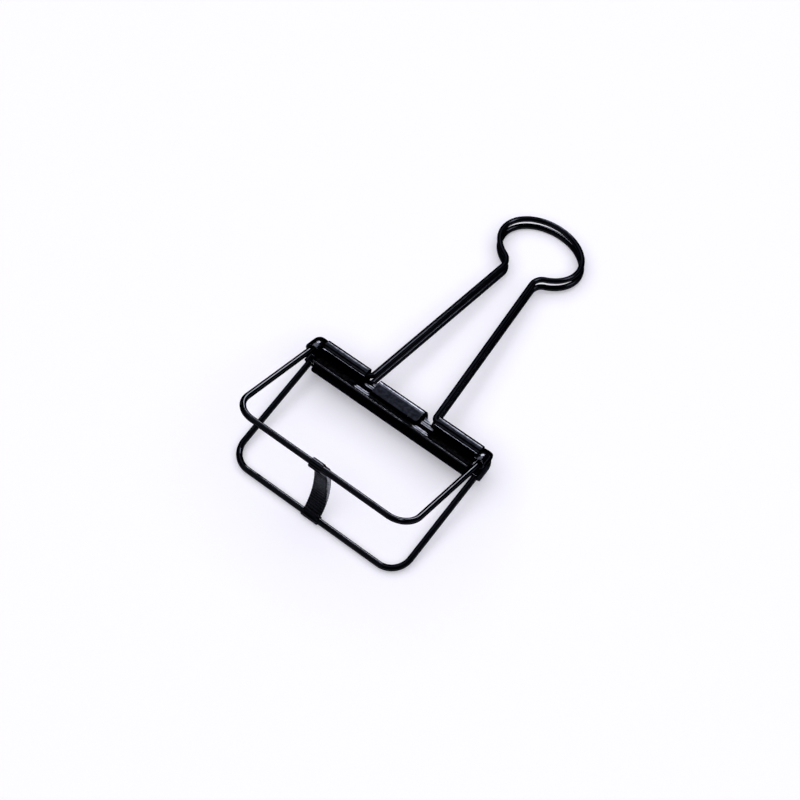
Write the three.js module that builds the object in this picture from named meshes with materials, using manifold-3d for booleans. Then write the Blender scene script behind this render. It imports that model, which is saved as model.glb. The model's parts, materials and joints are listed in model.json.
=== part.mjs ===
// Wire binder clip, millimetres, +Z up, lying on the plane z = 0 with its handles folded forward.
// Two bent-wire frames are joined at the spine by a ribbed spring band. Each frame carries a
// rolled sheet jaw, and each jaw's tubes hold the feet of a keyhole-shaped wire handle.
// The shape is drawn in the clip's own frame: X along the jaws, Y from the spine towards the
// handles, Z across the two jaws, with the jaws meeting at the origin.

import * as THREE from "three";
import { mergeVertices } from "three/addons/utils/BufferGeometryUtils.js";
import Module from "manifold-3d";

const wasm = await Module();
wasm.setup();

const degrees = Math.PI / 180;

// Driving dimensions: wire frames
const frameWireRadius = 0.78;
const frameHalfWidth = 24.7;
const spineDistance = 32.7;
const spineHalfHeight = 10.75;
const spineCornerRadius = 5.3;
const elbowRadius = 1.35;
const frameEndInside = 17.6;

// Driving dimensions: jaws
const sheet = 0.45;
const tubeRadius = 1.5;
const jawAxisHeight = 1.65;
const plateDepth = 5.5;
const plateCrease = 2.6;
const plateFlare = 0.25;
const tubeOuterEnd = 22.9;
const tubeInnerEnd = 10.4;
const tongueHalfWidth = 6.6;
const tongueSlopeEnd = -2.35;
const hoodStart = 23.3;
const earInside = 25.7;
const earDepth = 3.7;
const earHeight = 1.6;

// Driving dimensions: handles
const handleWireRadius = 0.72;
const footEndInside = 16.2;
const footBend = 9.32;
const footBendRadius = 1.3;
const neckHalfWidth = 4.1;
const neckDistance = 48.1;
const neckBendRadius = 3.2;
const loopHalfWidth = 11.05;
const loopHalfLength = 8.1;
const loopCentre = 55.75;
const loopStart = -54 * degrees;
const upperHandleLean = 0.7 * degrees;
const lowerHandleLean = 1.1 * degrees;
const upperHandleAngle = 5.25 * degrees;
const lowerHandleAngle = 6.15 * degrees;

// Driving dimensions: spring band
const bandThickness = 0.3;
const bandWidth = 4.6;
const bandOffset = -0.3;
const bandCurlRadius = 1.1;
const bandPull = 8;

// Fineness
const wireSides = 14;
const bendSteps = 8;
const loopSteps = 26;
const rollSteps = 22;

const frameAngle = Math.atan2(spineHalfHeight - jawAxisHeight, spineDistance);
const frameReach = Math.hypot(spineHalfHeight - jawAxisHeight, spineDistance);

function paint(color, roughness) {
  return new THREE.MeshStandardMaterial({ color, roughness, metalness: 0.3 });
}

// A route through given stations, one for each step of an extrusion.
class Route extends THREE.Curve {
  constructor(stations) {
    super();
    this.stations = stations;
  }

  getUtoTmapping(u) {
    return u;
  }

  getPoint(t, target = new THREE.Vector3()) {
    const last = this.stations.length - 1;
    const place = Math.min(Math.max(t, 0), 1) * last;
    const index = Math.min(Math.floor(place), last - 1);
    return target.lerpVectors(this.stations[index], this.stations[index + 1], place - index);
  }
}

// Stations of a flat route whose corners [x, y, radius] are rounded with arcs.
function roundedStations(corners) {
  const points = corners.map(([x, y]) => new THREE.Vector3(x, y, 0));
  const stations = [points[0]];
  for (let i = 1; i < points.length - 1; i += 1) {
    const radius = corners[i][2];
    if (!radius) {
      stations.push(points[i]);
      continue;
    }
    const back = points[i - 1].clone().sub(points[i]).normalize();
    const ahead = points[i + 1].clone().sub(points[i]).normalize();
    const half = back.angleTo(ahead) / 2;
    const middle = back.clone().add(ahead).normalize();
    const centre = points[i].clone().addScaledVector(middle, radius / Math.sin(half));
    const start = points[i].clone().addScaledVector(back, radius / Math.tan(half)).sub(centre);
    const turn = Math.sign(start.y * back.x - start.x * back.y) * (Math.PI - 2 * half);
    const axis = new THREE.Vector3(0, 0, 1);
    for (let step = 0; step <= bendSteps; step += 1) {
      const spoke = start.clone().applyAxisAngle(axis, (turn * step) / bendSteps);
      stations.push(centre.clone().add(spoke));
    }
  }
  stations.push(points[points.length - 1]);
  return stations;
}

// A round wire along a route.
function wireGeometry(stations, radius) {
  const section = new THREE.Shape();
  section.absarc(0, 0, radius, 0, 2 * Math.PI);
  return new THREE.ExtrudeGeometry(section, {
    steps: stations.length - 1,
    curveSegments: wireSides / 2,
    extrudePath: new Route(stations),
  });
}

// The closed outline of bent sheet, from the points along its middle.
function sheetOutline(middle, thickness) {
  const sides = [[], []];
  middle.forEach((point, i) => {
    const before = middle[Math.max(i - 1, 0)];
    const after = middle[Math.min(i + 1, middle.length - 1)];
    const along = after.clone().sub(before).normalize();
    const across = new THREE.Vector2(-along.y, along.x).multiplyScalar(thickness / 2);
    sides[0].push(point.clone().add(across));
    sides[1].push(point.clone().sub(across));
  });
  return new THREE.Shape([...sides[0], ...sides[1].reverse()]);
}

function arcPoints(cx, cy, radius, from, to, steps) {
  return Array.from({ length: steps + 1 }, (_, i) => {
    const angle = (from + ((to - from) * i) / steps) * degrees;
    return new THREE.Vector2(cx + radius * Math.cos(angle), cy + radius * Math.sin(angle));
  });
}

// A prism whose outline lies in the YZ plane, from x = low to x = high.
function prism(outline, low, high) {
  const geometry = new THREE.ExtrudeGeometry(outline, { depth: high - low, bevelEnabled: false });
  const turn = new THREE.Matrix4().set(0, 0, 1, low, 1, 0, 0, 0, 0, 1, 0, 0, 0, 0, 0, 1);
  return geometry.applyMatrix4(turn);
}

function toSolid(geometry) {
  geometry.deleteAttribute("normal");
  geometry.deleteAttribute("uv");
  const merged = mergeVertices(geometry, 1e-5);
  const mesh = new wasm.Mesh({
    numProp: 3,
    vertProperties: new Float32Array(merged.attributes.position.array),
    triVerts: new Uint32Array(merged.index.array),
  });
  return new wasm.Manifold(mesh);
}

// One closed body from overlapping pieces.
function unite(geometries) {
  const joined = geometries.map(toSolid).reduce((whole, piece) => whole.add(piece));
  const mesh = joined.getMesh();
  const geometry = new THREE.BufferGeometry();
  geometry.setAttribute("position", new THREE.BufferAttribute(mesh.vertProperties, 3));
  geometry.setIndex(new THREE.BufferAttribute(mesh.triVerts, 1));
  geometry.computeVertexNormals();
  return geometry;
}

// U-shaped frame in its own plane, with both ends turned in along the jaw axis.
function frameGeometry() {
  const w = frameHalfWidth;
  const corners = [
    [-frameEndInside, 0],
    [-w, 0, elbowRadius],
    [-w, -frameReach, spineCornerRadius],
    [w, -frameReach, spineCornerRadius],
    [w, 0, elbowRadius],
    [frameEndInside, 0],
  ];
  return wireGeometry(roundedStations(corners), frameWireRadius);
}

// Keyhole-shaped handle in its own plane, with feet along the jaw axis.
function handleGeometry(lean) {
  const shift = (y) => y * Math.tan(lean);
  const side = (sign) => [
    [sign * footEndInside, 0],
    [sign * footBend, 0, footBendRadius],
    [sign * neckHalfWidth + shift(neckDistance), neckDistance, neckBendRadius],
  ];
  const loop = Array.from({ length: loopSteps + 1 }, (_, i) => {
    const angle = Math.PI - loopStart + ((2 * loopStart - Math.PI) * i) / loopSteps;
    const y = loopCentre + loopHalfLength * Math.sin(angle);
    return [loopHalfWidth * Math.cos(angle) + shift(y), y];
  });
  const corners = [...side(-1), ...loop, ...side(1).reverse()];
  return wireGeometry(roundedStations(corners), handleWireRadius);
}

// Jaw in its frame's plane: a plate with a slightly flared back, whose front rolls out and back
// into tubes, a folded tongue between the tubes, and a hood, a roof and an ear round each elbow.
function jawGeometry() {
  const middle = tubeRadius - sheet / 2;
  const plateTop = sheet - tubeRadius;
  const plate = sheetOutline(
    [
      new THREE.Vector2(-plateDepth, plateFlare - middle),
      new THREE.Vector2(-plateCrease, -middle),
      ...arcPoints(0, 0, middle, -90, -62, 4),
    ],
    sheet,
  );
  const roll = sheetOutline(arcPoints(0, 0, middle, -100, 212, rollSteps), sheet);
  const hump = sheetOutline(
    [
      new THREE.Vector2(-0.6, -middle),
      ...arcPoints(-0.05, -0.36, middle - 0.36, -90, 62, 9),
      new THREE.Vector2(tongueSlopeEnd, plateTop + 0.35),
    ],
    sheet,
  );
  const hood = sheetOutline(arcPoints(0, 0, middle, -100, 95, 14), sheet);
  const ear = new THREE.Shape();
  ear.moveTo(-earDepth, -tubeRadius);
  ear.absarc(-0.7, -0.7, 0.8, -Math.PI / 2, 0);
  ear.absarc(-0.7, earHeight - 0.8, 0.8, 0, Math.PI / 2);
  ear.absarc(0.8 - earDepth, earHeight - 0.8, 0.8, Math.PI / 2, Math.PI);
  const shelf = new THREE.Shape([
    new THREE.Vector2(-earDepth, -tubeRadius),
    new THREE.Vector2(0, -tubeRadius),
    new THREE.Vector2(0, plateTop),
    new THREE.Vector2(-earDepth, plateTop),
  ]);
  const roof = new THREE.Shape([
    new THREE.Vector2(-earDepth, tubeRadius - sheet),
    new THREE.Vector2(0.1, tubeRadius - sheet),
    new THREE.Vector2(0.1, tubeRadius - 0.01),
    new THREE.Vector2(-earDepth, tubeRadius - 0.01),
  ]);
  const pieces = [
    prism(plate, -tubeOuterEnd, tubeOuterEnd),
    prism(hump, -tongueHalfWidth, tongueHalfWidth),
  ];
  for (const sign of [-1, 1]) {
    const between = (a, b) => (sign > 0 ? [a, b] : [-b, -a]);
    pieces.push(prism(roll, ...between(tubeInnerEnd, tubeOuterEnd)));
    pieces.push(prism(shelf, ...between(tubeOuterEnd - 0.5, earInside + 0.1)));
    pieces.push(prism(hood, ...between(hoodStart, earInside - 0.4)));
    pieces.push(prism(roof, ...between(hoodStart, earInside + 0.1)));
    pieces.push(prism(ear, ...between(earInside, earInside + sheet)));
  }
  return unite(pieces);
}

// Spring band: curled over the upper spine wire, bowed towards the jaws, curled under the lower.
function bandGeometry() {
  const upper = arcPoints(-spineDistance, spineHalfHeight, bandCurlRadius, 232, 7, 16);
  const lower = arcPoints(-spineDistance, -spineHalfHeight, bandCurlRadius, 135, 375, 16);
  const start = upper[upper.length - 1];
  const end = lower[0];
  const leave = start.clone().sub(upper[upper.length - 2]).normalize();
  const arrive = lower[1].clone().sub(end).normalize();
  const bow = new THREE.CubicBezierCurve(
    start,
    start.clone().addScaledVector(leave, bandPull),
    end.clone().addScaledVector(arrive, -bandPull),
    end,
  );
  const middle = [...upper, ...bow.getPoints(20).slice(1, -1), ...lower];
  const low = bandOffset - bandWidth / 2;
  return prism(sheetOutline(middle, bandThickness), low, low + bandWidth);
}

function piece(name, geometry, material, height, angle) {
  const mesh = new THREE.Mesh(geometry, material);
  mesh.name = name;
  mesh.position.z = height;
  mesh.rotation.x = angle;
  return mesh;
}

// One side of the clip, drawn as the upper one; the lower one is turned half round about Y.
function clipSide(prefix, handleAngle, lean) {
  const side = new THREE.Group();
  const frame = frameGeometry();
  const jaw = jawGeometry();
  const handle = handleGeometry(lean);
  side.add(piece(`${prefix}_frame`, frame, paint(0x0a0b10, 0.22), jawAxisHeight, -frameAngle));
  side.add(piece(`${prefix}_jaw`, jaw, paint(0x0b0c12, 0.2), jawAxisHeight, -frameAngle));
  side.add(piece(`${prefix}_handle`, handle, paint(0x090a0f, 0.22), jawAxisHeight, handleAngle));
  return side;
}

const upperSide = clipSide("upper", upperHandleAngle, upperHandleLean);
const lowerSide = clipSide("lower", -lowerHandleAngle, -lowerHandleLean);
lowerSide.rotation.y = Math.PI;

const group = new THREE.Group();
group.add(upperSide, lowerSide, piece("spring_band", bandGeometry(), paint(0x16171d, 0.35), 0, 0));

// The clip lies on the band's lower curl and on the end of its lower handle's loop.
const loopEnd = loopCentre + loopHalfLength;
const rise = spineHalfHeight - jawAxisHeight + loopEnd * Math.sin(lowerHandleAngle);
const run = spineDistance + loopEnd * Math.cos(lowerHandleAngle);
const radiusStep = bandCurlRadius + bandThickness / 2 - handleWireRadius;
group.rotation.x = -Math.atan2(rise, run) - Math.asin(radiusStep / Math.hypot(rise, run));
group.updateMatrixWorld(true);

// The origin is on the resting plane, below the middle of the box round the clip.
const box = new THREE.Box3().setFromObject(group, true);
group.position.set(-(box.min.x + box.max.x) / 2, -(box.min.y + box.max.y) / 2, -box.min.z);
group.updateMatrixWorld(true);

export default group;
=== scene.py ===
"""Looks for the wire binder clip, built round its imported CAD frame.

Lengths are in millimetres until a piece is placed, and Blender works in metres.
Each side of the clip is drawn in its own frame: x along the jaw, y forward in the plane of the
bent-wire frame, z outward, with the origin on the axis of the jaw's tubes.
"""

import json
import math

import bmesh
import bpy
from mathutils import Matrix, Vector
from mathutils.geometry import delaunay_2d_cdt


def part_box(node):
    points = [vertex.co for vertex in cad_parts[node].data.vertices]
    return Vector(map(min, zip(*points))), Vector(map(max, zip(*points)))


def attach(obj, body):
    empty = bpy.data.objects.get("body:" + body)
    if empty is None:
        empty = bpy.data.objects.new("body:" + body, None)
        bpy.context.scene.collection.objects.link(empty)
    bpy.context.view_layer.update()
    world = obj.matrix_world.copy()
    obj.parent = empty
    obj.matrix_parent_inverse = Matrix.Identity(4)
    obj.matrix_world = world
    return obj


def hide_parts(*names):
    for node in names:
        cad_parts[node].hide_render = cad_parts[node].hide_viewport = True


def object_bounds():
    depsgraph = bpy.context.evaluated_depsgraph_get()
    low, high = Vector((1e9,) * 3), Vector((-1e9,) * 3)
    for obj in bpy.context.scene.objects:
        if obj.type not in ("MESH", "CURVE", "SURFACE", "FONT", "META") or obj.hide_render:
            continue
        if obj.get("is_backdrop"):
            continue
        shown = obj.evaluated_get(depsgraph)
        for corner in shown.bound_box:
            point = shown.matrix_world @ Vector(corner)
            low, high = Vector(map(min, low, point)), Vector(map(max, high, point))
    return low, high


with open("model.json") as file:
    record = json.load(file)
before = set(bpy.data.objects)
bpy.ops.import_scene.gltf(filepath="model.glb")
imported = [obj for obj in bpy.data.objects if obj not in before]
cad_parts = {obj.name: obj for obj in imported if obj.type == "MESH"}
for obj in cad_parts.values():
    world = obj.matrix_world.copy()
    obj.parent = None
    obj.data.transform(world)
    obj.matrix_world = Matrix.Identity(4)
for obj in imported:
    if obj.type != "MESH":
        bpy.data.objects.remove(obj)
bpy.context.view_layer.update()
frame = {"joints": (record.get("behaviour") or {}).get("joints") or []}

MM = 0.001
DEGREE = math.pi / 180

# The photographer's view: where the camera looks from, and the point of the clip it looks at.
VIEW_AZIMUTH = 37.07 * DEGREE
VIEW_ELEVATION = 63.04 * DEGREE
VIEW_ROLL = 0.473 * DEGREE
VIEW_DISTANCE = 455.65 * MM
VIEW_LENS = 86.78
AIM_FROM_CENTRE = Vector((-0.756, -14.35, -5.59)) * MM

# Wire frames: the wire's radius, the middle line's corner radii, and where its ends stop
FRAME_WIRE = 0.78
SPINE_CORNER = 5.3
ELBOW = 1.35
FRAME_END_INSIDE = 17.6

# Sheet rims, as shares of the sheet's thickness
RIM_HEM = 0.12
RIM_CORNER = 0.12
RIM_FLAT = 0.3
RIM_STEPS = 5

# Points of the jaw's flat pattern
EDGE_STEP = 0.22
ROW_STEP = 0.13
COLUMN_STEP = 0.4
COLUMNS = 64
NEAR_EDGE = 0.3
EDGE_MARGIN = 0.1
HAIR = 0.00001

# Jaws: radii and levels are those of the sheet's middle
SHEET = 0.45
PLATE_LEVEL = -1.275
PLATE_DEPTH = 5.5
PLATE_CREASE = 2.6
CREASE_RADIUS = 4
PLATE_FLARE = 0.3
PAST_REAR = 0.3
PAST_REAR_FLARE = 1.1
REAR_CORNER = 0.5
TUBE_CENTRE = Vector((0.05, 0.075))
TUBE_RADIUS = 1.35
TUBE_OUTER_END = 22.9
TUBE_INNER_END = 10.4
TUBE_TURN = 302 * DEGREE
FLAP_CORNER = 0.45
TONGUE_HALF_WIDTH = 6.6
TONGUE_CENTRE = Vector((-0.2, -0.375))
TONGUE_RADIUS = 0.9
TONGUE_FLAT_END = -0.8
TONGUE_FOLD_RADIUS = 2.2
TONGUE_END = (-3.44, -0.45)
TONGUE_BLEND_INSIDE = 0.1
TONGUE_BLEND_OUTSIDE = 1.6
PRESS_INSIDE = 6.8
PRESS_OUTSIDE = 10.6
PRESS_RISE = 1.3
PRESS_OVERLAP = 0.1
PRESS_BLEND = 0.7
SLOPE_STEP = 0.01
SLOT_WIDTH = 0.35
SLOT_END = -1.0
SLOT_CORNER = SLOT_WIDTH / 2 - 0.01
SHOULDER_TOP = 2.5
SHOULDER_PULLS = (Vector((8.4, -0.6)), Vector((6.9, 0.8)))
RIPPLE_PITCH = 1.4
RIPPLE_HEIGHT = 0.04
REAR_RIPPLE = 0.03
RIPPLE_CHANGE = (-3.6, -2.8)
SHELF_END = 24.8
SHELF_DEPTH = 3.7
SHELF_FRONT = -0.1
SHELF_CORNER = 0.4
SHELF_FRONT_CORNER = 0.3
SHELF_NOTCH = 0.12

# Hoods over the frame's elbows
CAP_CENTRE = 24.0
CAP_HALF_WIDTH = 2.15
CAP_CREST = 24.6
CAP_HEIGHT = 1.55
CAP_DEPTH = 1.2
CAP_TUCK = 0.5
CAP_REAR = -3.9
CAP_BROW = -1.4
CAP_FRONT = 1.75
CAP_INSIDE = 23.05
CAP_SHEET = 0.38
CAP_SQUARENESS = 0.62
CAP_NOSE_POWER = 2.6
CAP_NARROWING = 0.4
CAP_SWELL = 0.13
CAP_SWELL_BEHIND = 1.9
CAP_SWELL_LENGTH = 4.0
CAP_FALL = 0.13
CAP_FALL_WIDTH = 1.5

# Handles
HANDLE_WIRE = 0.72
FOOT_END = 16.2
FOOT_BEND = 9.32
FOOT_ROUND = 1.3
NECK_HALF_WIDTH = 4.1
NECK_DISTANCE = 48.1
NECK_ROUND = 3.2
LOOP_HALF_WIDTH = 11.05
LOOP_HALF_LENGTH = 8.1
LOOP_CENTRE = 55.75
LOOP_START = -54 * DEGREE
UPPER_LEAN = 0.7 * DEGREE
LOWER_LEAN = -1.1 * DEGREE

# Spring band
BAND_SHEET = 0.3
BAND_LEFT = -2.6
BAND_RIGHT = 2.0
BAND_CURL = 1.1
BAND_LOWER_CURL = 0.95
BAND_UPPER_TURN = (232 * DEGREE, 7 * DEGREE)
BAND_LOWER_TURN = (135 * DEGREE, 375 * DEGREE)
BAND_CURL_DROP = 0.15
BAND_CURL_LEFT = -2.1
BAND_CURL_RIGHT = 1.0
BAND_PULL = 7.0
# Where the band's pale margin begins, and how far it widens towards the lower spine
BAND_PALE_FROM = 1.2
BAND_PALE_TAPER = 0.9
BAND_TAPER_FROM = -0.2
BAND_TAPER_TO = 0.8
BAND_SCALLOP = 0.1
BAND_GROOVE = 0.3
BAND_SEAM = 0.22
RIB_PITCH = 0.85
RIB_HEIGHT = 0.2
RIB_AT_EDGE = 0.35
FLANGE_WIDTH = 0.95
FLANGE_DROP = 0.5
FLANGE_LEAD = 0.4

# Places along the band, in rows of its mesh past the end of the upper curl
BAND_ENDS_FADE = 24
RIBS_FROM = 40
RIBS_FULL = 130
SPREAD_FROM = -4
SPREAD_FULL = 26

# Lacquers
PEEL_GRAIN = 900
PEEL_DEPTH = 0.02
GLOSS_SPREAD = 0.3
# Painted shade: the band's colour darkens to this towards its lower spine
BAND_PAINTED_SHADE = (0.024, 0.024, 0.028, 1)
DEEP_ABOVE_LOWER_SPINE = 2
PLAIN_BELOW_UPPER_SPINE = 10

# Stage
FLOOR_HALF = 1.5
LAMP_DISTANCE = 1.2

# Fineness
WIRE_SIDES = 32
WIRE_END = ((0.18, 0.94), (0.3, 0.78))
BEND_STEPS = 18
LOOP_STEPS = 96
TUBE_STEPS = 64
TONGUE_STEPS = 32
CORNER_STEPS = 10
SHOULDER_STEPS = 24
CAP_SIDES = 48
CAP_REAR_STEPS = 14
CAP_FRONT_STEPS = 22
BAND_COLUMNS = 28
BAND_CURL_STEPS = 40
BAND_BOW_STEPS = 320

joints = {joint["name"]: joint for joint in frame["joints"]}


def joint_point(name):
    """A joint's place in the row frame, in millimetres, on the middle plane."""
    _, y, z = joints[name]["pos_m"]
    return Vector((0, y / MM, z / MM))


UPPER_TUBE = joint_point("upper_handle_hinge")
LOWER_TUBE = joint_point("lower_handle_hinge")
UPPER_SPINE = joint_point("upper_spine_hinge")
LOWER_SPINE = joint_point("lower_spine_hinge")
FRAME_REACH = (UPPER_TUBE - UPPER_SPINE).length
FRAME_HALF_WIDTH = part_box("upper_frame")[1].x / MM - FRAME_WIRE


# ---------------------------------------------------------------- frames and routes


def plane_matrix(origin, forward, across):
    """Millimetres in a side's own frame to metres in the row frame."""
    y = forward.normalized()
    x = Vector((across, 0, 0))
    z = x.cross(y)
    turn = Matrix((x, y, z)).transposed().to_4x4()
    return Matrix.Scale(MM, 4) @ Matrix.Translation(origin) @ turn


def handle_forward(node, tube):
    """From the tube's axis to the far end of the loop, read off the handle's CAD box."""
    low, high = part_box(node)
    far = Vector((0, high.y / MM - HANDLE_WIRE, low.z / MM + HANDLE_WIRE))
    return far - tube


UPPER_SIDE = plane_matrix(UPPER_TUBE, UPPER_TUBE - UPPER_SPINE, 1)
LOWER_SIDE = plane_matrix(LOWER_TUBE, LOWER_TUBE - LOWER_SPINE, -1)
UPPER_HANDLE = plane_matrix(UPPER_TUBE, handle_forward("upper_handle", UPPER_TUBE), 1)
LOWER_HANDLE = plane_matrix(LOWER_TUBE, handle_forward("lower_handle", LOWER_TUBE), -1)


def arc(centre, radius, start, end, steps):
    """Points on a circle from one angle to another."""
    points = []
    for i in range(steps + 1):
        angle = start + (end - start) * i / steps
        points.append(centre + radius * Vector((math.cos(angle), math.sin(angle))))
    return points


def rounded(corners, steps=BEND_STEPS):
    """A flat route whose corners (x, y, radius) are rounded with arcs."""
    points = [Vector(corner[:2]) for corner in corners]
    route = [points[0]]
    for before, here, after, corner in zip(points, points[1:], points[2:], corners[1:]):
        if len(corner) == 2:
            route.append(here)
            continue
        back = (before - here).normalized()
        ahead = (after - here).normalized()
        half = back.angle(ahead) / 2
        centre = here + (back + ahead).normalized() * (corner[2] / math.sin(half))
        spoke = here + back * (corner[2] / math.tan(half)) - centre
        turn = math.copysign(math.pi - 2 * half, spoke.y * back.x - spoke.x * back.y)
        first = math.atan2(spoke.y, spoke.x)
        route += arc(centre, corner[2], first, first + turn, steps)
    route.append(points[-1])
    return route


def bezier(start, leave, arrive, end, steps):
    """Points on a cubic curve with two pull points."""
    start, end = Vector(start), Vector(end)
    points = []
    for i in range(steps + 1):
        t = i / steps
        u = 1 - t
        ends = start * u**3 + end * t**3
        points.append(ends + leave * (3 * u * u * t) + arrive * (3 * u * t * t))
    return points


def tangent_at(route, i):
    """The direction of a route at one of its points."""
    before = route[max(i - 1, 0)]
    after = route[min(i + 1, len(route) - 1)]
    return (after - before).normalized()


def smooth_step(value, low, high):
    """0 up to low, 1 from high on, and a smooth rise between."""
    share = min(max((value - low) / (high - low), 0), 1)
    return share * share * (3 - 2 * share)


# ---------------------------------------------------------------- meshes


def new_piece(name, vertices, faces, matrix, material, body, node):
    """A smooth mesh in the row frame, riding on its body in place of its CAD node."""
    mesh = bpy.data.meshes.new(name)
    mesh.from_pydata([matrix @ v for v in vertices], [], faces)
    mesh.update()
    mesh.shade_smooth()
    mesh.materials.append(material)
    piece = bpy.data.objects.new(name, mesh)
    bpy.context.scene.collection.objects.link(piece)
    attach(piece, body)
    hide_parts(node)
    return piece


def wire_mesh(route, radius):
    """A round wire along a flat route, with slightly rounded ends."""
    lift = Vector((0, 0, 1))
    rings = []
    for i, point in enumerate(route):
        along = tangent_at(route, i)
        side = Vector((-along.y, along.x, 0))
        rings.append((point.to_3d(), side, radius))
    ends = []
    for i, sign in ((0, -1), (len(route) - 1, 1)):
        along = tangent_at(route, i).to_3d() * sign
        point, side, _ = rings[i]
        steps = [(out * radius, size * radius) for out, size in WIRE_END]
        ends.append([(point + along * out, side, size) for out, size in steps])
    rings = ends[0][::-1] + rings + ends[1]
    vertices = []
    for point, side, size in rings:
        for k in range(WIRE_SIDES):
            angle = 2 * math.pi * k / WIRE_SIDES
            vertices.append(point + size * (math.cos(angle) * side + math.sin(angle) * lift))
    faces = []
    for i in range(len(rings) - 1):
        for k in range(WIRE_SIDES):
            a = i * WIRE_SIDES + k
            b = i * WIRE_SIDES + (k + 1) % WIRE_SIDES
            faces.append((a, b, b + WIRE_SIDES, a + WIRE_SIDES))
    first = list(range(WIRE_SIDES))
    last = [len(vertices) - WIRE_SIDES + k for k in range(WIRE_SIDES)]
    faces += [tuple(first[::-1]), tuple(last)]
    return vertices, faces


def sheet_mesh(outline, inner, bend, thickness):
    """Bent sheet from its flat pattern: bend(x, s) gives a point of the middle and its normal.

    outline goes round the pattern counter-clockwise, and inner holds points inside it. The rim
    bulges a little past the outline, with rounded edges.
    """
    count = len(outline)
    edges = [(i, (i + 1) % count) for i in range(count)]
    outward = []
    for i in range(count):
        along = (outline[(i + 1) % count] - outline[i - 1]).normalized()
        outward.append(Vector((along.y, -along.x)))
    hem = [p - out * (RIM_HEM * thickness) for p, out in zip(outline, outward)]
    pattern = delaunay_2d_cdt(outline + hem + inner, edges, [], 1, 1e-6)
    points, triangles = pattern[0], pattern[2]
    vertices = []
    for side in (0.5, -0.5):
        for p in points:
            place, normal = bend(p.x, p.y)
            vertices.append(place + normal * (side * thickness))
    total = len(points)
    faces = [tuple(t) for t in triangles]
    faces += [tuple(i + total for i in reversed(t)) for t in triangles]
    rows = [list(range(count))]
    rim = []
    for step in range(1, RIM_STEPS + 1):
        angle = step * math.pi / 2 / RIM_STEPS
        rim.append((RIM_CORNER * math.sin(angle), 0.5 - RIM_CORNER * (1 - math.cos(angle))))
    rim.append((RIM_CORNER, RIM_FLAT))
    rim += [(reach, -rise) for reach, rise in reversed(rim)]
    for reach, rise in rim:
        row = []
        for i in range(count):
            edge = outline[i] + outward[i] * (reach * thickness)
            place, normal = bend(edge.x, edge.y)
            row.append(len(vertices))
            vertices.append(place + normal * (rise * thickness))
        rows.append(row)
    rows.append([i + total for i in range(count)])
    for upper, lower in zip(rows, rows[1:]):
        for i in range(count):
            j = (i + 1) % count
            faces.append((upper[i], lower[i], lower[j], upper[j]))
    return vertices, faces


def joined(parts):
    """One list of vertices and one of faces from several."""
    vertices, faces = [], []
    for more_vertices, more_faces in parts:
        start = len(vertices)
        vertices += more_vertices
        faces += [tuple(i + start for i in face) for face in more_faces]
    return vertices, faces


# ---------------------------------------------------------------- wires


def frame_route():
    """One arm's end inside a tube, along the arm, the spine, the other arm and in again."""
    w = FRAME_HALF_WIDTH
    corners = [
        (-FRAME_END_INSIDE, 0),
        (-w, 0, ELBOW),
        (-w, -FRAME_REACH, SPINE_CORNER),
        (w, -FRAME_REACH, SPINE_CORNER),
        (w, 0, ELBOW),
        (FRAME_END_INSIDE, 0),
    ]
    return rounded(corners)


def handle_route(lean):
    """Keyhole outline: foot, leg, neck, loop, neck, leg, foot."""
    shift = math.tan(lean)
    sides = []
    for sign in (-1, 1):
        neck = sign * NECK_HALF_WIDTH + NECK_DISTANCE * shift
        foot_corner = (sign * FOOT_BEND, 0, FOOT_ROUND)
        sides.append([(sign * FOOT_END, 0), foot_corner, (neck, NECK_DISTANCE, NECK_ROUND)])
    loop = []
    for i in range(LOOP_STEPS + 1):
        angle = math.pi - LOOP_START + (2 * LOOP_START - math.pi) * i / LOOP_STEPS
        y = LOOP_CENTRE + LOOP_HALF_LENGTH * math.sin(angle)
        loop.append((LOOP_HALF_WIDTH * math.cos(angle) + y * shift, y))
    return rounded(sides[0] + loop + sides[1][::-1])


# ---------------------------------------------------------------- jaws


def profile_point(route, lengths, s):
    """The point and normal at a distance along a route; the normal is on the route's left."""
    i = 0
    while i < len(lengths) - 2 and lengths[i + 1] < s:
        i += 1
    share = (s - lengths[i]) / (lengths[i + 1] - lengths[i])
    point = route[i].lerp(route[i + 1], share)
    along = tangent_at(route, i).lerp(tangent_at(route, i + 1), min(max(share, 0), 1)).normalized()
    return point, Vector((-along.y, along.x))


def measured(route, zero, start):
    """A route with the distance of each point along it, its point number zero being at start."""
    lengths = [0.0]
    for a, b in zip(route, route[1:]):
        lengths.append(lengths[-1] + (b - a).length)
    return route, [length - lengths[zero] + start for length in lengths]


def jaw_profiles():
    """Middle lines of the rolled tube and of the folded tongue, both starting on the plate."""
    rear = (-PLATE_DEPTH - PAST_REAR, PLATE_LEVEL + PLATE_FLARE * PAST_REAR_FLARE)
    crease = (-PLATE_CREASE, PLATE_LEVEL, CREASE_RADIUS)
    plate = rounded([rear, crease, (TONGUE_CENTRE.x, PLATE_LEVEL)])
    zero = len(plate) - 1
    down = -90 * DEGREE
    tube = plate + arc(TUBE_CENTRE, TUBE_RADIUS, down, down + TUBE_TURN, TUBE_STEPS)
    folds = [
        TONGUE_CENTRE + Vector((0, TONGUE_RADIUS)),
        (TONGUE_FLAT_END, TONGUE_CENTRE.y + TONGUE_RADIUS, TONGUE_FOLD_RADIUS),
        TONGUE_END,
    ]
    fold = arc(TONGUE_CENTRE, TONGUE_RADIUS, down, -down, TONGUE_STEPS)
    tongue = plate[:-1] + fold + rounded(folds)[1:]
    start = TONGUE_CENTRE.x
    return measured(tube, zero, start), measured(tongue, zero, start)


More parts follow.
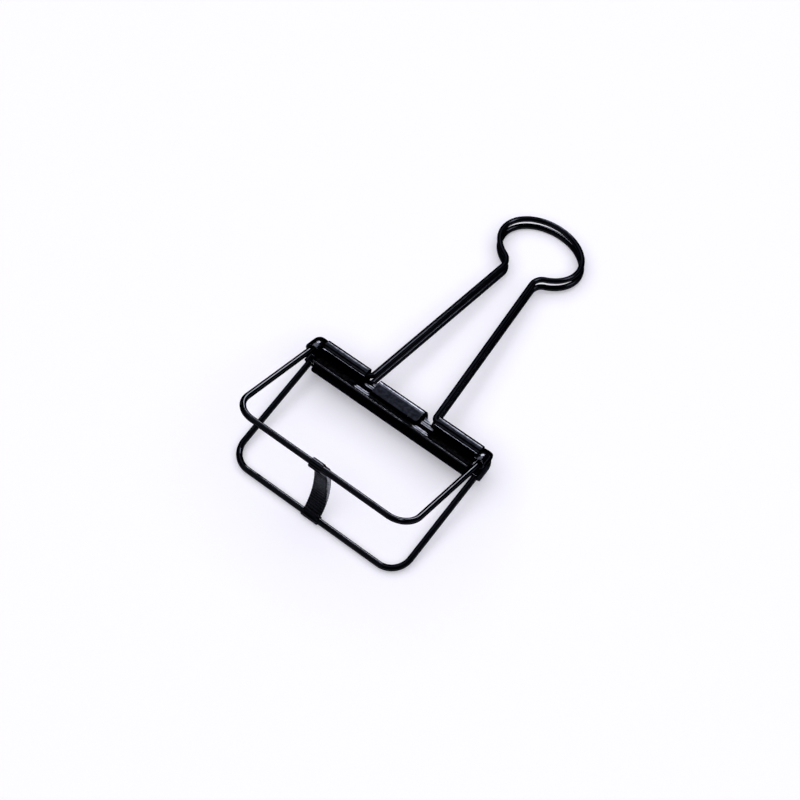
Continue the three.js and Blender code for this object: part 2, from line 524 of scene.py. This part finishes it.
def pressed(x, s):
    """Height and slope of the shallow lift pressed into the plate's back behind each notch."""
    begun = smooth_step(abs(x), PRESS_INSIDE - PRESS_BLEND, PRESS_INSIDE + PRESS_OVERLAP)
    ended = smooth_step(abs(x), PRESS_OUTSIDE - PRESS_OVERLAP, PRESS_OUTSIDE + PRESS_BLEND)
    share = begun * (1 - ended)

    def height(y):
        lifted = smooth_step(-PLATE_CREASE - y, 0, PRESS_RISE)
        plain = (-PLATE_CREASE - y) / (PLATE_DEPTH - PLATE_CREASE)
        swell = REAR_RIPPLE + (RIPPLE_HEIGHT - REAR_RIPPLE) * smooth_step(y, *RIPPLE_CHANGE)
        ripple = swell * math.cos(2 * math.pi * y / RIPPLE_PITCH)
        return share * (PLATE_FLARE * (lifted - max(plain, 0)) + ripple)

    rise = height(s + SLOPE_STEP) - height(s - SLOPE_STEP)
    return height(s), rise / (2 * SLOPE_STEP)


def half_outline():
    """The right half of the jaw's flat pattern, from the middle of its back to the tongue's tip."""
    (_, tube_lengths), (_, tongue_lengths) = jaw_profiles()
    flap = tube_lengths[-1]
    tip = tongue_lengths[-1]
    corners = [
        (0, -PLATE_DEPTH),
        (TUBE_OUTER_END, -PLATE_DEPTH, REAR_CORNER),
        (TUBE_OUTER_END, -SHELF_DEPTH, SHELF_CORNER),
        (SHELF_END, -SHELF_DEPTH, SHELF_CORNER),
        (SHELF_END, SHELF_FRONT, SHELF_FRONT_CORNER),
        (TUBE_OUTER_END, SHELF_FRONT, SHELF_NOTCH),
        (TUBE_OUTER_END, flap, FLAP_CORNER),
        (TUBE_INNER_END, flap, FLAP_CORNER),
        (TUBE_INNER_END, SLOT_END, SLOT_CORNER),
        (TUBE_INNER_END - SLOT_WIDTH, SLOT_END, SLOT_CORNER),
        (TUBE_INNER_END - SLOT_WIDTH, SLOT_END + SLOT_WIDTH / 2),
    ]
    top = (TONGUE_HALF_WIDTH, SHOULDER_TOP)
    shoulder = bezier(corners[-1], *SHOULDER_PULLS, top, SHOULDER_STEPS)
    tongue = [top, (TONGUE_HALF_WIDTH, tip, FLAP_CORNER), (0, tip)]
    return rounded(corners, CORNER_STEPS) + shoulder[1:] + rounded(tongue, CORNER_STEPS)[1:]


def resampled(route, step):
    """Points along a route no further apart than a step.

    Straight runs bow inwards by a hair, so that no three points line up and leave a gap in the
    mesh.
    """
    points = [route[0]]
    for a, b in zip(route, route[1:]):
        pieces = max(1, math.ceil((b - a).length / step))
        along = (b - a).normalized()
        inward = Vector((-along.y, along.x))
        for k in range(1, pieces + 1):
            points.append(a.lerp(b, k / pieces) + inward * (HAIR * k * (pieces - k)))
    return points


def inside(outline, point):
    """Whether a point lies in a closed outline."""
    crossings = 0
    for a, b in zip(outline, outline[1:] + outline[:1]):
        if (a.y > point.y) != (b.y > point.y):
            crossings += a.x + (point.y - a.y) * (b.x - a.x) / (b.y - a.y) > point.x
    return crossings % 2 == 1


def distance_to(outline, point):
    """From a point to the nearest point of an outline."""
    return min((point - p).length for p in outline)


def jaw_sheet():
    """The jaw's sheet, bent up from its flat pattern, with its middle rolled as the tongue."""
    tube, tongue = jaw_profiles()

    def bend(x, s):
        low = TONGUE_HALF_WIDTH - TONGUE_BLEND_INSIDE
        share = 1 - smooth_step(abs(x), low, TONGUE_HALF_WIDTH + TONGUE_BLEND_OUTSIDE)
        on_tube, tube_normal = profile_point(*tube, s)
        on_tongue, tongue_normal = profile_point(*tongue, s)
        place = on_tube.lerp(on_tongue, share)
        normal = tube_normal.lerp(tongue_normal, share)
        lift, slope = pressed(x, s)
        normal = Vector((normal.x - slope, normal.y)).normalized()
        return Vector((x, place.x, place.y + lift)), Vector((0, normal.x, normal.y))

    half = resampled(half_outline(), EDGE_STEP)
    mirrored = [Vector((-p.x, p.y)) for p in half[1:-1]]
    outline = half + mirrored[::-1]
    inner = []
    rows = math.ceil((max(p.y for p in outline) + PLATE_DEPTH) / ROW_STEP)
    for row in range(rows):
        s = -PLATE_DEPTH + ROW_STEP * (row + 0.5)
        near = [p for p in outline if abs(p.y - s) < NEAR_EDGE]
        for column in range(-COLUMNS, COLUMNS + 1):
            point = Vector((column * COLUMN_STEP, s))
            clear = not near or distance_to(near, point) > EDGE_MARGIN
            if clear and inside(outline, point):
                inner.append(point)
    return sheet_mesh(outline, inner, bend, SHEET)


def squarish(value):
    """Pushes a circle's cosine or sine outwards, towards a square."""
    return math.copysign(abs(value) ** CAP_SQUARENESS, value)


def cap_mesh(sign):
    """A hood over one elbow: squarish on top and round below, domed in front, open behind.

    The side towards the middle of the clip is cut off flat, and the shell is CAP_SHEET thick.
    """
    body = bmesh.new()
    back = CAP_BROW - CAP_REAR
    stations = [CAP_REAR + back * i / CAP_REAR_STEPS for i in range(CAP_REAR_STEPS)]
    reach = CAP_FRONT - CAP_BROW
    for i in range(CAP_FRONT_STEPS):
        stations.append(CAP_BROW + reach * math.sin(i * 90 * DEGREE / CAP_FRONT_STEPS))
    rings = []
    for y in stations:
        front = max(y - CAP_BROW, 0) / reach
        size = (1 - front**CAP_NOSE_POWER) ** 0.5
        width = CAP_HALF_WIDTH * (1 - CAP_NARROWING * front**3)
        swell = math.cos((y + CAP_SWELL_BEHIND) * math.pi / CAP_SWELL_LENGTH)
        crest = 1 + CAP_SWELL * swell
        ring = []
        for k in range(CAP_SIDES):
            angle = 2 * math.pi * k / CAP_SIDES
            x = CAP_CENTRE + width * squarish(math.cos(angle))
            fall = 1 - CAP_FALL * ((x - CAP_CREST) / CAP_FALL_WIDTH) ** 2
            if math.sin(angle) > 0:
                z = size * squarish(math.sin(angle)) * CAP_HEIGHT * crest * fall
            else:
                z = size * math.sin(angle) * CAP_DEPTH
                x -= CAP_TUCK * math.sin(angle) ** 2 * max(math.cos(angle), 0)
            ring.append(body.verts.new((sign * x, y, z)))
        rings.append(ring)
    tip = body.verts.new((sign * CAP_CENTRE, CAP_FRONT, 0))
    for lower, upper in zip(rings, rings[1:]):
        for k in range(CAP_SIDES):
            j = (k + 1) % CAP_SIDES
            body.faces.new((lower[k], lower[j], upper[j], upper[k]))
    for k in range(CAP_SIDES):
        body.faces.new((rings[-1][k], rings[-1][(k + 1) % CAP_SIDES], tip))
    whole = body.verts[:] + body.edges[:] + body.faces[:]
    inward = Vector((-sign, 0, 0))
    cut = Vector((sign * CAP_INSIDE, 0, 0))
    bmesh.ops.bisect_plane(body, geom=whole, plane_co=cut, plane_no=inward, clear_outer=True)
    bmesh.ops.recalc_face_normals(body, faces=body.faces[:])
    hub = Vector((sign * CAP_CENTRE, 0, 0))
    if sum(f.normal.dot(f.calc_center_median() - hub) for f in body.faces) < 0:
        bmesh.ops.reverse_faces(body, faces=body.faces[:])
    body.normal_update()
    outer = [v.co.copy() for v in body.verts]
    inner = [v.co - v.normal * CAP_SHEET for v in body.verts]
    body.verts.index_update()
    count = len(outer)
    faces = [tuple(v.index for v in f.verts) for f in body.faces]
    faces += [tuple(v.index + count for v in reversed(f.verts)) for f in body.faces]
    for edge in body.edges:
        if len(edge.link_faces) == 1:
            loop = edge.link_loops[0]
            a, b = loop.vert.index, loop.link_loop_next.vert.index
            faces.append((b, a, a + count, b + count))
    body.free()
    return outer + inner, faces


# ---------------------------------------------------------------- spring band


def band_matrix():
    """The band's own frame: x along the spine, y towards the jaws, z from lower wire to upper."""
    up = (UPPER_SPINE - LOWER_SPINE).normalized()
    x = Vector((1, 0, 0))
    turn = Matrix((x, up.cross(x), up)).transposed().to_4x4()
    middle = (UPPER_SPINE + LOWER_SPINE) / 2
    return Matrix.Scale(MM, 4) @ Matrix.Translation(middle) @ turn


def band_route():
    """Side view of the band's middle: over the upper wire, bowed to the jaws, under the lower."""
    half = (UPPER_SPINE - LOWER_SPINE).length / 2
    top = Vector((0, half - BAND_CURL_DROP))
    upper = arc(top, BAND_CURL, *BAND_UPPER_TURN, BAND_CURL_STEPS)
    lower = arc(Vector((0, -half)), BAND_LOWER_CURL, *BAND_LOWER_TURN, BAND_CURL_STEPS)
    start, end = upper[-1], lower[0]
    leave = (start - upper[-2]).normalized() * BAND_PULL
    arrive = (lower[1] - end).normalized() * BAND_PULL
    bow = bezier(start, start + leave, end - arrive, end, BAND_BOW_STEPS)[1:-1]
    return upper, bow, lower


def band_mesh():
    """The band: ribbed across between its curls, with drooped margins, and narrower at the top."""
    upper, bow, lower = band_route()
    route = upper + bow + lower
    vertices = []
    distance = 0.0
    for i, point in enumerate(route):
        if i:
            distance += (point - route[i - 1]).length
        along = tangent_at(route, i)
        normal = Vector((along.y, -along.x))
        past = i - len(upper)
        flanged = smooth_step(min(past, len(bow) - past), 0, BAND_ENDS_FADE)
        ribbed = flanged * smooth_step(past, RIBS_FROM, RIBS_FULL)
        rib = RIB_HEIGHT * ribbed * (math.cos(2 * math.pi * distance / RIB_PITCH) - 1)
        spread = smooth_step(past, SPREAD_FROM, SPREAD_FULL)
        left = BAND_CURL_LEFT + (BAND_LEFT - BAND_CURL_LEFT) * spread
        right = BAND_CURL_RIGHT + (BAND_RIGHT - BAND_CURL_RIGHT) * spread
        for column in range(BAND_COLUMNS + 1):
            x = left + (right - left) * column / BAND_COLUMNS
            edge = min(x - left, right - x)
            drop = FLANGE_DROP * flanged * (1 - smooth_step(edge, -FLANGE_LEAD, FLANGE_WIDTH))
            fade = RIB_AT_EDGE + (1 - RIB_AT_EDGE) * smooth_step(edge, 0, FLANGE_WIDTH)
            for side in (0.5, -0.5):
                place = point + normal * (side * BAND_SHEET + rib * fade - drop)
                vertices.append(Vector((x, place.x, place.y)))
    faces = []
    row = 2 * (BAND_COLUMNS + 1)
    for i in range(len(route) - 1):
        for column in range(BAND_COLUMNS):
            a = i * row + 2 * column
            faces.append((a, a + row, a + row + 2, a + 2))
            faces.append((a + 1, a + 3, a + row + 3, a + row + 1))
        for a, flip in ((i * row, False), (i * row + 2 * BAND_COLUMNS, True)):
            quad = (a, a + 1, a + row + 1, a + row)
            faces.append(quad[::-1] if flip else quad)
    for a, flip in ((0, True), ((len(route) - 1) * row, False)):
        for column in range(BAND_COLUMNS):
            b = a + 2 * column
            quad = (b, b + 1, b + 3, b + 2)
            faces.append(quad[::-1] if flip else quad)
    return vertices, faces


# ---------------------------------------------------------------- materials


def enamel(name, dark, light, roughness, peel, blotches):
    """Black lacquer: slight colour variation, orange peel and uneven gloss, with dark rims."""
    material = bpy.data.materials.new(name)
    material.use_nodes = True
    nodes = material.node_tree.nodes
    links = material.node_tree.links
    shader = nodes["Principled BSDF"]
    place = nodes.new("ShaderNodeTexCoord")
    blotch = nodes.new("ShaderNodeTexNoise")
    blotch.inputs["Scale"].default_value = blotches
    blotch.inputs["Detail"].default_value = 5
    links.new(place.outputs["Object"], blotch.inputs["Vector"])
    colour = nodes.new("ShaderNodeValToRGB")
    colour.color_ramp.elements[0].position = 0.35
    colour.color_ramp.elements[0].color = (*dark, 1)
    colour.color_ramp.elements[1].position = 0.65
    colour.color_ramp.elements[1].color = (*light, 1)
    links.new(blotch.outputs["Fac"], colour.inputs["Fac"])
    links.new(colour.outputs["Color"], shader.inputs["Base Color"])
    gloss = nodes.new("ShaderNodeMapRange")
    gloss.inputs["From Min"].default_value = 0.3
    gloss.inputs["From Max"].default_value = 0.7
    gloss.inputs["To Min"].default_value = roughness * (1 - GLOSS_SPREAD)
    gloss.inputs["To Max"].default_value = roughness * (1 + GLOSS_SPREAD)
    links.new(blotch.outputs["Fac"], gloss.inputs["Value"])
    links.new(gloss.outputs["Result"], shader.inputs["Roughness"])
    skin = nodes.new("ShaderNodeTexNoise")
    skin.inputs["Scale"].default_value = PEEL_GRAIN
    skin.inputs["Detail"].default_value = 2
    links.new(place.outputs["Object"], skin.inputs["Vector"])
    bump = nodes.new("ShaderNodeBump")
    bump.inputs["Strength"].default_value = peel
    bump.inputs["Distance"].default_value = PEEL_DEPTH * MM
    links.new(skin.outputs["Fac"], bump.inputs["Height"])
    links.new(bump.outputs["Normal"], shader.inputs["Normal"])
    shader.inputs["Metallic"].default_value = 1
    shader.inputs["Specular Tint"].default_value = (0, 0, 0, 1)
    return material


def paint_band_shade(material):
    """Painted shade: darkens an enamel smoothly towards the lower spine, standing in for the darker
    lower half of the band.
    """
    nodes = material.node_tree.nodes
    links = material.node_tree.links
    shader = nodes["Principled BSDF"]
    plain = shader.inputs["Base Color"].links[0].from_socket
    place = nodes.new("ShaderNodeTexCoord")
    split = nodes.new("ShaderNodeSeparateXYZ")
    links.new(place.outputs["Object"], split.inputs["Vector"])
    share = nodes.new("ShaderNodeMapRange")
    share.inputs["From Min"].default_value = (LOWER_SPINE.z + DEEP_ABOVE_LOWER_SPINE) * MM
    share.inputs["From Max"].default_value = (UPPER_SPINE.z - PLAIN_BELOW_UPPER_SPINE) * MM
    links.new(split.outputs["Z"], share.inputs["Value"])
    blend = nodes.new("ShaderNodeMix")
    blend.data_type = "RGBA"
    blend.inputs["A"].default_value = BAND_PAINTED_SHADE
    links.new(share.outputs["Result"], blend.inputs["Factor"])
    links.new(plain, blend.inputs["B"])
    links.new(blend.outputs["Result"], shader.inputs["Base Color"])


frame_enamel = enamel(
    "frame_enamel", (0.0135, 0.014, 0.0165), (0.020, 0.0205, 0.024), 0.09, 0.08, 420
)
jaw_enamel = enamel(
    "jaw_enamel", (0.010, 0.010, 0.0125), (0.027, 0.028, 0.033), 0.10, 0.2, 1300
)
handle_enamel = enamel(
    "handle_enamel", (0.012, 0.0125, 0.0155), (0.018, 0.0185, 0.022), 0.12, 0.08, 420
)
band_enamel = enamel(
    "band_enamel", (0.058, 0.059, 0.067), (0.090, 0.092, 0.102), 0.24, 0.25, 1000
)
# Painted shade: the band darkens towards its lower spine
paint_band_shade(band_enamel)
pale_margin_enamel = enamel(
    "pale_margin_enamel", (0.16, 0.165, 0.18), (0.42, 0.43, 0.46), 0.35, 0.3, 1300
)


# ---------------------------------------------------------------- the clip


def band_finish(point):
    """Enamel (0), a pale margin (1), or deep black by the edge and the curls (2)."""
    half = (UPPER_SPINE - LOWER_SPINE).length / 2
    scallop = BAND_SCALLOP * math.cos(2 * math.pi * point.z / RIB_PITCH)
    taper = smooth_step(-point.z, BAND_TAPER_FROM * half, BAND_TAPER_TO * half)
    pale_from = BAND_PALE_FROM + BAND_PALE_TAPER * taper + scallop
    if abs(point.z) > half - BAND_CURL - BAND_CURL_DROP - BAND_SHEET:
        return 2
    if point.x > pale_from:
        return 1
    if point.x > pale_from - BAND_GROOVE or point.x < BAND_LEFT + BAND_SEAM:
        return 2
    return 0


def wire_piece(name, route, radius, matrix, material, body, node):
    """A round wire, placed and dressed as one visible piece."""
    vertices, faces = wire_mesh(route, radius)
    return new_piece(name, vertices, faces, matrix, material, body, node)


sheet_pieces = []
for side, matrix in (("upper", UPPER_SIDE), ("lower", LOWER_SIDE)):
    wire_piece(
        f"{side}_frame_wire", frame_route(), FRAME_WIRE, matrix,
        frame_enamel, f"{side}_side", f"{side}_frame",
    )
    jaw_vertices, jaw_faces = joined([jaw_sheet(), cap_mesh(1), cap_mesh(-1)])
    jaw = new_piece(
        f"{side}_jaw_sheet", jaw_vertices, jaw_faces, matrix,
        jaw_enamel, f"{side}_side", f"{side}_jaw",
    )
    sheet_pieces.append(jaw)

handles = (("upper", UPPER_HANDLE, UPPER_LEAN), ("lower", LOWER_HANDLE, LOWER_LEAN))
for side, matrix, lean in handles:
    wire_piece(
        f"{side}_handle_wire", handle_route(lean), HANDLE_WIRE, matrix,
        handle_enamel, f"{side}_handle", f"{side}_handle",
    )

band_vertices, band_faces = band_mesh()
band = new_piece(
    "ribbed_spring_band", band_vertices, band_faces, band_matrix(),
    band_enamel, "band", "spring_band",
)
band.data.materials.append(pale_margin_enamel)
band.data.materials.append(frame_enamel)
for face in band.data.polygons:
    points = [band_vertices[i] for i in face.vertices]
    face.material_index = band_finish(sum(points, Vector()) / len(points))


# ---------------------------------------------------------------- stage, lights and camera


def floor():
    """A pale floor with a little light of its own."""
    mesh = bpy.data.meshes.new("floor")
    half = FLOOR_HALF
    corners = [(-half, -half, 0), (half, -half, 0), (half, half, 0), (-half, half, 0)]
    mesh.from_pydata(corners, [], [(0, 1, 2, 3)])
    material = bpy.data.materials.new("pale_floor")
    material.use_nodes = True
    shader = material.node_tree.nodes["Principled BSDF"]
    shader.inputs["Base Color"].default_value = (0.80, 0.79, 0.87, 1)
    shader.inputs["Roughness"].default_value = 0.9
    shader.inputs["Specular IOR Level"].default_value = 0.1
    shader.inputs["Emission Color"].default_value = (0.97, 0.96, 1, 1)
    shader.inputs["Emission Strength"].default_value = 0.22
    mesh.materials.append(material)
    plane = bpy.data.objects.new("floor", mesh)
    bpy.context.scene.collection.objects.link(plane)
    plane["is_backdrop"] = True


def softbox(name, azimuth, elevation, width, height, radiance, tint=(1, 1, 1)):
    """A soft light at a compass angle from +Y towards +X, of an angular size and a brightness."""
    light = bpy.data.lights.new(name, "AREA")
    light.shape = "ELLIPSE"
    light.size = 2 * LAMP_DISTANCE * math.tan(width * DEGREE / 2)
    light.size_y = 2 * LAMP_DISTANCE * math.tan(height * DEGREE / 2)
    light.energy = radiance * math.pi * light.size * light.size_y * math.pi / 4
    light.color = tint
    lamp = bpy.data.objects.new(name, light)
    bpy.context.scene.collection.objects.link(lamp)
    flat = math.cos(elevation * DEGREE)
    turn = azimuth * DEGREE
    rise = math.sin(elevation * DEGREE)
    toward = Vector((math.sin(turn) * flat, math.cos(turn) * flat, rise))
    lamp.location = toward * LAMP_DISTANCE
    lamp.rotation_euler = toward.to_track_quat("Z", "Y").to_euler()
    return lamp


def lights():
    """One broad light from above, not itself reflected, and softboxes that are only reflected.

    The two in on_sheet are reflected in the jaws' sheet alone.
    """
    overhead = softbox("overhead", 0, 90, 100, 100, 1.6)
    overhead.visible_glossy = False
    seen = [
        softbox("window", -16, 21, 14, 11, 44),
        softbox("side_box", -40, 61, 44, 36, 1.0, (0.74, 0.79, 1)),
        softbox("rear_box", -157, 45, 34, 22, 0.5, (0.85, 0.9, 1)),
        softbox("far_box", 78, 28, 30, 24, 0.25, (0.85, 0.9, 1)),
        softbox("left_strip", -77, 12, 16, 12, 1.7, (0.9, 0.93, 1)),
        softbox("leg_box", 25, 63, 11, 11, 26, (0.9, 0.93, 1)),
    ]
    on_sheet = [
        softbox("rear_strip", -173, 7, 30, 10, 60, (0.9, 0.93, 1)),
        softbox("glow", -16, 38, 26, 22, 5, (0.9, 0.93, 1)),
    ]
    lit = bpy.data.collections.new("sheet_pieces")
    for piece in sheet_pieces:
        lit.objects.link(piece)
    for lamp in on_sheet:
        lamp.light_linking.receiver_collection = lit
    for lamp in seen + on_sheet:
        lamp.visible_diffuse = False
    world = bpy.data.worlds.new("studio")
    world.use_nodes = True
    world.node_tree.nodes["Background"].inputs["Color"].default_value = (0.03, 0.034, 0.05, 1)
    bpy.context.scene.world = world


def camera():
    """The camera, fitted to the photograph's view."""
    low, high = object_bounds()
    aim = (low + high) / 2 + AIM_FROM_CENTRE
    flat = math.cos(VIEW_ELEVATION)
    forward = Vector(
        (-math.sin(VIEW_AZIMUTH) * flat, math.cos(VIEW_AZIMUTH) * flat, -math.sin(VIEW_ELEVATION))
    )
    level = Vector((math.cos(VIEW_AZIMUTH), math.sin(VIEW_AZIMUTH), 0))
    upright = level.cross(forward)
    right = level * math.cos(VIEW_ROLL) + upright * math.sin(VIEW_ROLL)
    up = right.cross(forward)
    data = bpy.data.cameras.new("camera")
    data.lens = VIEW_LENS
    data.sensor_width = 36
    eye = bpy.data.objects.new("camera", data)
    eye.matrix_world = Matrix((right, up, -forward)).transposed().to_4x4()
    eye.location = aim - forward * VIEW_DISTANCE
    bpy.context.scene.collection.objects.link(eye)
    bpy.context.scene.camera = eye


floor()
lights()
camera()
bpy.context.scene.view_settings.view_transform = "Standard"
